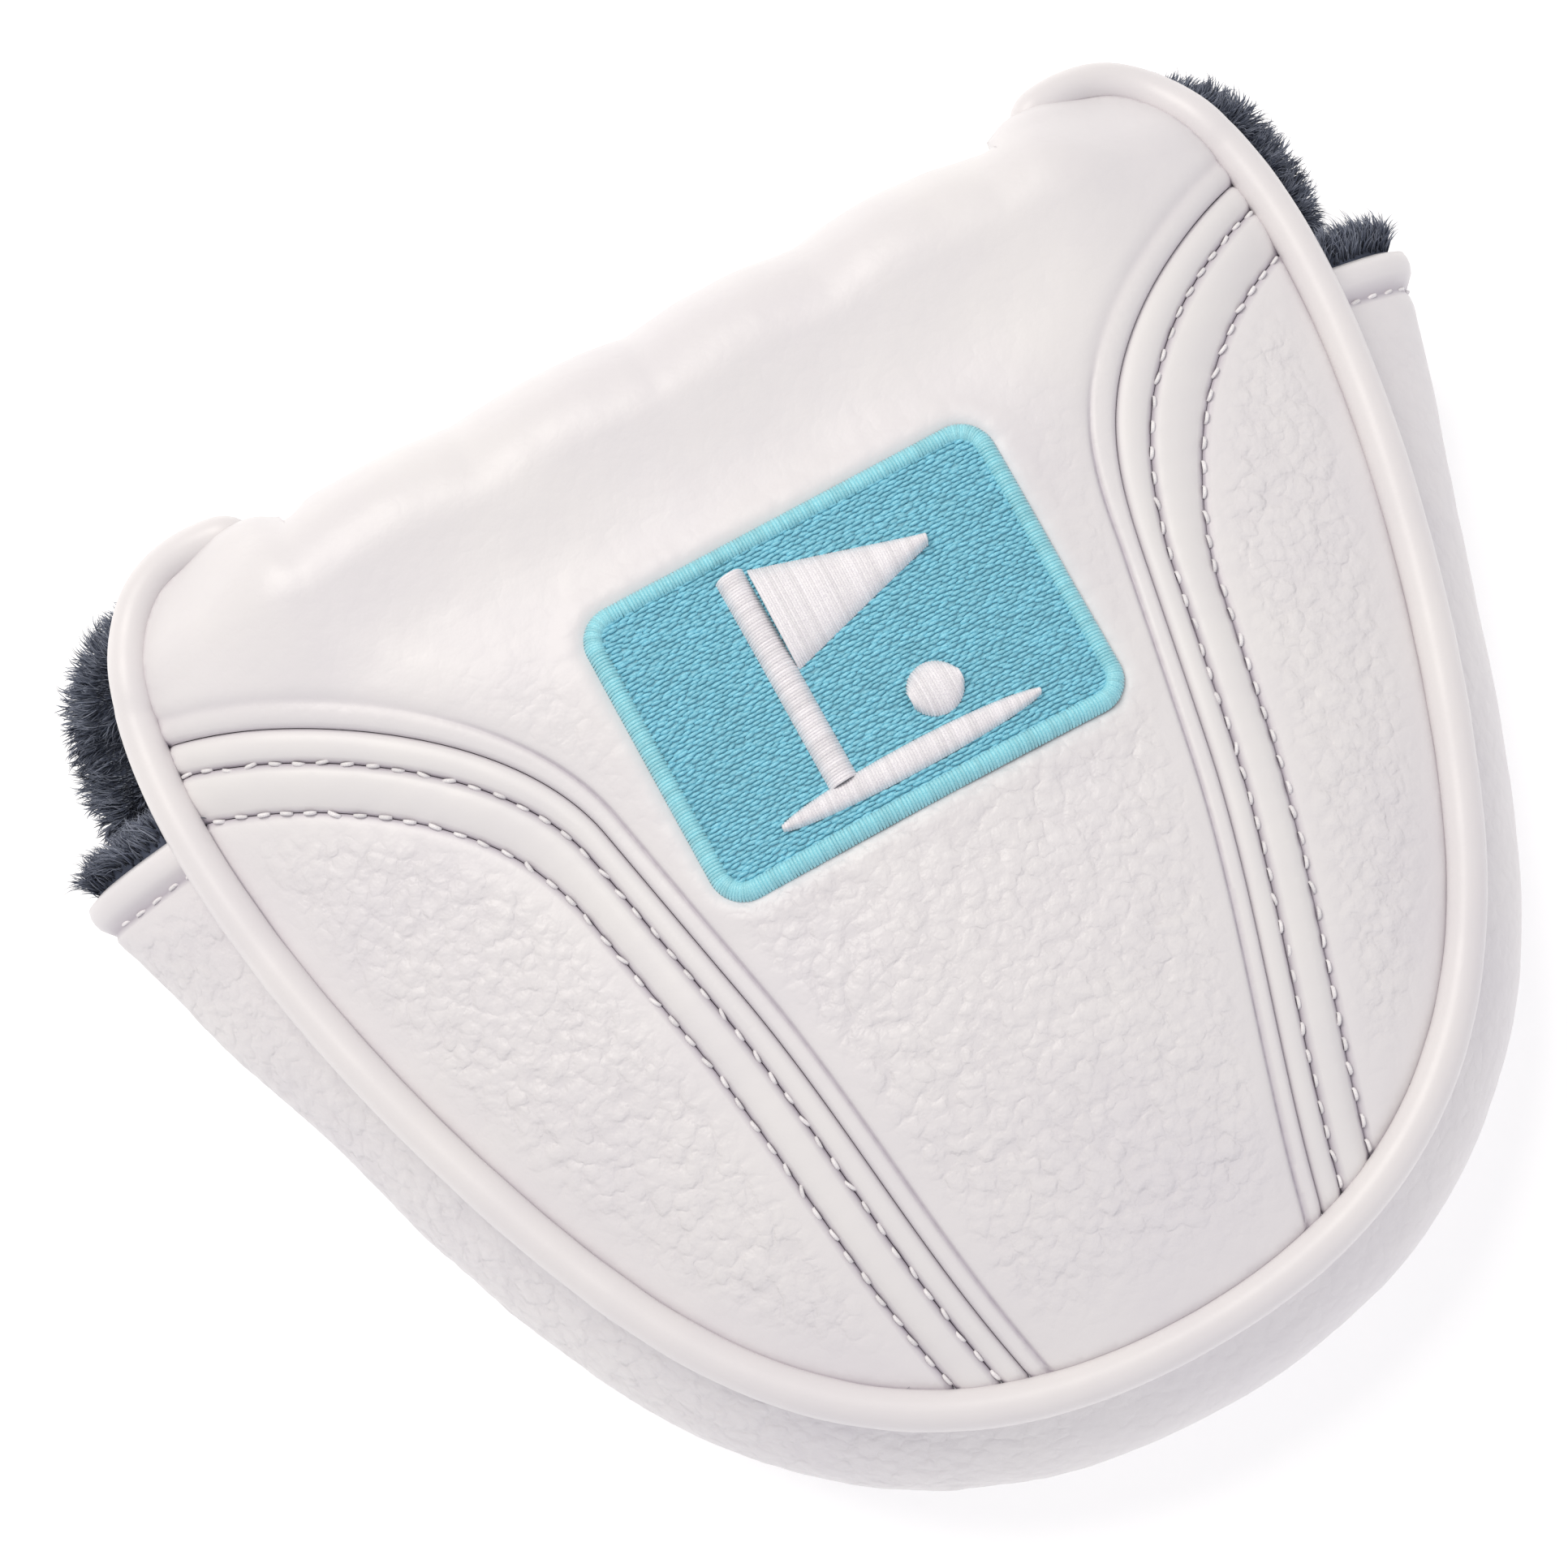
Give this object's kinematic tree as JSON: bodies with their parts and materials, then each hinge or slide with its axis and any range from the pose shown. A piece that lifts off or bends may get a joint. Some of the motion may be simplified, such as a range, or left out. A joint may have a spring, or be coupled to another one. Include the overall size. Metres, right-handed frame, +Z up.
{
  "type": "putter head cover",
  "caption": "Padded D-shaped leather cover for a mallet putter head, with piped seams, plush lining, embroidered patch and a magnetic flap that folds round its spine.",
  "frame": {"origin": "centre of the bounding box's bottom, on the surface the cover lies on", "axes": "+X to the right across the front panel, +Y from the round end to the spine, +Z up out of the front panel"},
  "size_m": [0.171, 0.142, 0.0512],
  "materials": {
    "smooth_leather": "coated white synthetic leather, nearly smooth with a fine crease pattern, soft sheen",
    "grained_leather": "coated white synthetic leather with a deep pebble grain, soft sheen",
    "piping_leather": "thin white synthetic leather folded round a cord, smooth",
    "plush": "dark slate knitted plush, pile about 5 mm, matt",
    "foam": "open-cell grey sheet foam, matt, hidden between leather and lining",
    "piping_cord": "twisted cream cotton cord, hidden in the piping",
    "magnet": "nickel-plated disc magnet, hidden in the padding",
    "patch_fill": "light blue embroidery, rows of fill stitches",
    "blue_thread": "pale blue satin-stitched thread",
    "white_thread": "white satin-stitched thread over a raised underlay"
  },
  "bodies": {
    "pouch": {"centre_panel": "smooth_leather", "left_narrow_band": "smooth_leather", "left_wide_band": "smooth_leather", "left_wing_panel": "grained_leather", "right_narrow_band": "smooth_leather", "right_wide_band": "smooth_leather", "right_wing_panel": "grained_leather", "front_foam": "foam", "front_lining": "plush", "front_welt": "piping_leather", "front_welt_cord": "piping_cord", "gusset_leather": "grained_leather", "gusset_foam": "foam", "gusset_lining": "plush", "rear_panel": "grained_leather", "rear_foam": "foam", "left_rear_magnet": "magnet", "right_rear_magnet": "magnet", "rear_lining": "plush", "patch_base": "patch_fill", "patch_border": "blue_thread", "patch_flag": "white_thread", "patch_ball": "white_thread"},
    "spine": {"spine_leather": "smooth_leather", "spine_foam": "foam", "spine_lining": "plush", "left_spine_welt": "piping_leather", "left_spine_welt_cord": "piping_cord", "right_spine_welt": "piping_leather", "right_spine_welt_cord": "piping_cord", "spine_embroidery": "blue_thread"},
    "flap": {"flap_leather": "grained_leather", "flap_foam": "foam", "left_flap_magnet": "magnet", "right_flap_magnet": "magnet", "flap_lining": "plush", "flap_welt": "piping_leather", "flap_welt_cord": "piping_cord"}
  },
  "joints": [
    {"name": "spine_fold", "type": "hinge", "parent": "pouch", "child": "spine", "pos_m": [0, 0.06167, 0.04307], "axis": [1, 0, 0], "range_deg": [0, 90]},
    {"name": "flap_fold", "type": "hinge", "parent": "spine", "child": "flap", "pos_m": [0, 0.06167, 0.00293], "axis": [1, 0, 0], "range_deg": [0, 90]}
  ],
  "couplings": [
    {"joint": "flap_fold", "follows": "spine_fold", "ratio": 1}
  ]
}
